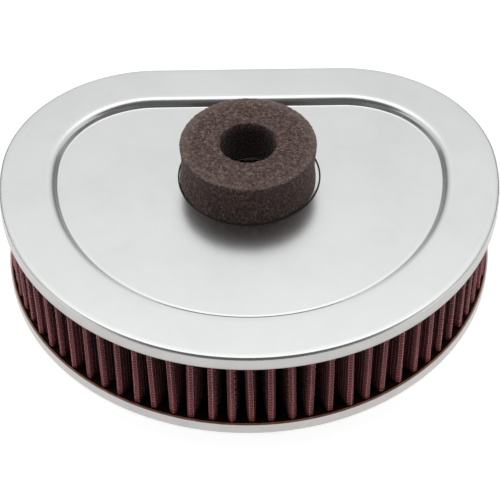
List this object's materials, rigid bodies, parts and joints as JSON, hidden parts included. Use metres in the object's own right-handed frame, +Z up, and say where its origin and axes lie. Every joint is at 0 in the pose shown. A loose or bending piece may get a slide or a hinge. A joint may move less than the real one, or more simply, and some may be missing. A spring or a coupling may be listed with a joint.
{
  "type": "air filter element",
  "caption": "D-shaped pleated air filter element with a pressed steel cover plate, an open steel base ring, oiled cotton pleats between wire screens and a foam sealing pad.",
  "frame": {"origin": "middle of the base, on the surface that the base gasket stands on", "axes": "+X along the length (the D's long side), +Y towards the flat back, +Z up, out of the cover plate through the foam pad"},
  "size_m": [0.2159, 0.177, 0.0648],
  "materials": {
    "plated_steel": "satin plated sheet steel with faint fine grain",
    "clip_steel": "crimped steel strip, dull and dark with filter oil",
    "wire_screen": "woven wire screen, stained by red filter oil",
    "cotton_gauze": "woven cotton gauze wet with red filter oil",
    "sealant": "cast flexible sealant, smooth, rust red",
    "gasket_rubber": "matte black rubber",
    "trim_rubber": "black rubber cord",
    "adhesive_film": "thin translucent adhesive film",
    "open_cell_foam": "open-cell foam with pale specks"
  },
  "bodies": {
    "root": {"base_gasket": "gasket_rubber", "bottom_ring": "plated_steel", "bottom_sealant": "sealant", "outer_screen": "wire_screen", "gauze_ply_1": "cotton_gauze", "gauze_ply_2": "cotton_gauze", "gauze_ply_3": "cotton_gauze", "gauze_ply_4": "cotton_gauze", "inner_screen": "wire_screen", "seam_clip": "clip_steel", "top_sealant": "sealant", "top_plate": "plated_steel", "trim_ring": "trim_rubber", "pad_adhesive": "adhesive_film", "foam_pad": "open_cell_foam"}
  },
  "joints": []
}
